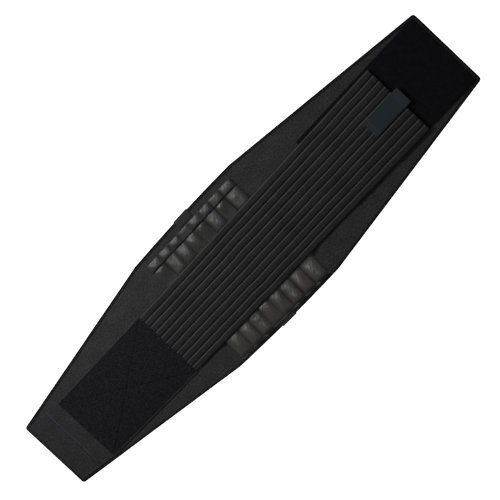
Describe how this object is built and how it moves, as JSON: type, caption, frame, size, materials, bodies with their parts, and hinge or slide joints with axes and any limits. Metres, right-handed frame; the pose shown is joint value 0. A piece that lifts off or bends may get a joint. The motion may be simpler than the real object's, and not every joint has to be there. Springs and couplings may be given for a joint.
{
  "type": "lumbar support belt",
  "caption": "Wrap-around lumbar belt with steel stays in a satin back panel, hook and pile ends and a ribbed elastic tension strap.",
  "frame": {"origin": "middle of the belt's underside, laid flat with its outer face up", "axes": "+X along the belt towards the pile end, +Y up the back, +Z away from the wearer"},
  "size_m": [0.96, 0.244, 0.0092],
  "materials": {
    "lining": "soft brushed knit",
    "cover": "fine woven knit",
    "binding": "folded edge tape",
    "webbing": "flat webbing",
    "satin": "satin twill",
    "seam": "stitched satin",
    "cap": "satin twill",
    "pad": "brushed loop",
    "hook": "moulded hooks",
    "flap": "fine woven knit",
    "pile": "loop pile",
    "elastic": "ribbed elastic",
    "tab": "plain woven label tape",
    "steel": "spring steel"
  },
  "bodies": {
    "back": {"lining_back": "lining", "cover_back": "cover", "binding_back": "binding", "spine_band": "webbing", "stay_panel": "satin", "channel_seams": "seam", "cap_strip": "cap", "elastic_2": "elastic"},
    "left_wing_1": {"lining_left_1": "lining", "cover_left_1": "cover", "binding_left_1": "binding", "strap_flap_1": "flap", "landing_pad_1": "pad", "elastic_1": "elastic"},
    "left_wing_2": {"lining_left_2": "lining", "cover_left_2": "cover", "binding_left_2": "binding", "strap_flap_2": "flap", "landing_pad_2": "pad"},
    "left_wing_3": {"lining_left_3": "lining", "cover_left_3": "cover", "binding_left_3": "binding", "strap_flap_3": "flap", "landing_pad_3": "pad", "hook_panel": "hook", "flap_root": "flap"},
    "right_wing_1": {"lining_right_1": "lining", "cover_right_1": "cover", "binding_right_1": "binding"},
    "right_wing_2": {"lining_right_2": "lining", "cover_right_2": "cover", "binding_right_2": "binding", "pile_panel_2": "pile"},
    "right_wing_3": {"lining_right_3": "lining", "cover_right_3": "cover", "binding_right_3": "binding", "pile_panel_3": "pile"},
    "strap_1": {"elastic_3": "elastic"},
    "strap_2": {"elastic_4": "elastic"},
    "strap_3": {"elastic_5": "elastic"},
    "strap_4": {"elastic_6": "elastic", "strap_hook": "hook", "tab_seam": "tab"},
    "pull_tab": {"pull_tab": "tab"},
    "stay_1": {"stay_1": "steel"},
    "stay_2": {"stay_2": "steel"},
    "stay_3": {"stay_3": "steel"},
    "stay_4": {"stay_4": "steel"},
    "stay_5": {"stay_5": "steel"},
    "stay_6": {"stay_6": "steel"},
    "stay_7": {"stay_7": "steel"},
    "stay_8": {"stay_8": "steel"}
  },
  "joints": [
    {"name": "right_wrap", "type": "hinge", "parent": "back", "child": "right_wing_1", "pos_m": [0.126, 0, 0.0016], "axis": [0, 1, 0], "range_deg": [-40, 60]},
    {"name": "right_wrap_2", "type": "hinge", "parent": "right_wing_1", "child": "right_wing_2", "pos_m": [0.217, 0, 0.0016], "axis": [0, 1, 0], "range_deg": [-40, 60]},
    {"name": "right_wrap_3", "type": "hinge", "parent": "right_wing_2", "child": "right_wing_3", "pos_m": [0.308, 0, 0.0016], "axis": [0, 1, 0], "range_deg": [-40, 60]},
    {"name": "left_wrap", "type": "hinge", "parent": "back", "child": "left_wing_1", "pos_m": [-0.126, 0, 0.0016], "axis": [0, -1, 0], "range_deg": [-40, 60]},
    {"name": "left_wrap_2", "type": "hinge", "parent": "left_wing_1", "child": "left_wing_2", "pos_m": [-0.22, 0, 0.0016], "axis": [0, -1, 0], "range_deg": [-40, 60]},
    {"name": "left_wrap_3", "type": "hinge", "parent": "left_wing_2", "child": "left_wing_3", "pos_m": [-0.314, 0, 0.0016], "axis": [0, -1, 0], "range_deg": [-40, 60]},
    {"name": "strap_peel", "type": "hinge", "parent": "back", "child": "strap_1", "pos_m": [0.07, 0, 0.0087], "axis": [0, -1, 0], "range_deg": [0, 160]},
    {"name": "strap_bend_1", "type": "hinge", "parent": "strap_1", "child": "strap_2", "pos_m": [0.126, 0, 0.0016], "axis": [0, 1, 0], "range_deg": [-40, 60]},
    {"name": "strap_bend_2", "type": "hinge", "parent": "strap_2", "child": "strap_3", "pos_m": [0.217, 0, 0.0016], "axis": [0, 1, 0], "range_deg": [-40, 60]},
    {"name": "strap_bend_3", "type": "hinge", "parent": "strap_3", "child": "strap_4", "pos_m": [0.308, 0, 0.0016], "axis": [0, 1, 0], "range_deg": [-40, 60]},
    {"name": "tab_lift", "type": "hinge", "parent": "strap_4", "child": "pull_tab", "pos_m": [0.316, 0, 0.0092], "axis": [0, -1, 0], "range_deg": [0, 120]},
    {"name": "stay_slide_1", "type": "slide", "parent": "back", "child": "stay_1", "axis": [0, 1, 0], "range_m": [0, 0.215]},
    {"name": "stay_slide_2", "type": "slide", "parent": "back", "child": "stay_2", "axis": [0, 1, 0], "range_m": [0, 0.215]},
    {"name": "stay_slide_3", "type": "slide", "parent": "back", "child": "stay_3", "axis": [0, 1, 0], "range_m": [0, 0.215]},
    {"name": "stay_slide_4", "type": "slide", "parent": "back", "child": "stay_4", "axis": [0, 1, 0], "range_m": [0, 0.215]},
    {"name": "stay_slide_5", "type": "slide", "parent": "back", "child": "stay_5", "axis": [0, 1, 0], "range_m": [0, 0.215]},
    {"name": "stay_slide_6", "type": "slide", "parent": "back", "child": "stay_6", "axis": [0, 1, 0], "range_m": [0, 0.215]},
    {"name": "stay_slide_7", "type": "slide", "parent": "back", "child": "stay_7", "axis": [0, 1, 0], "range_m": [0, 0.215]},
    {"name": "stay_slide_8", "type": "slide", "parent": "back", "child": "stay_8", "axis": [0, 1, 0], "range_m": [0, 0.215]}
  ],
  "couplings": [
    {"joint": "right_wrap_2", "follows": "right_wrap", "ratio": 1},
    {"joint": "right_wrap_3", "follows": "right_wrap", "ratio": 1},
    {"joint": "strap_bend_1", "follows": "right_wrap", "ratio": 1},
    {"joint": "strap_bend_2", "follows": "right_wrap", "ratio": 1},
    {"joint": "strap_bend_3", "follows": "right_wrap", "ratio": 1},
    {"joint": "left_wrap_2", "follows": "left_wrap", "ratio": 1},
    {"joint": "left_wrap_3", "follows": "left_wrap", "ratio": 1}
  ]
}
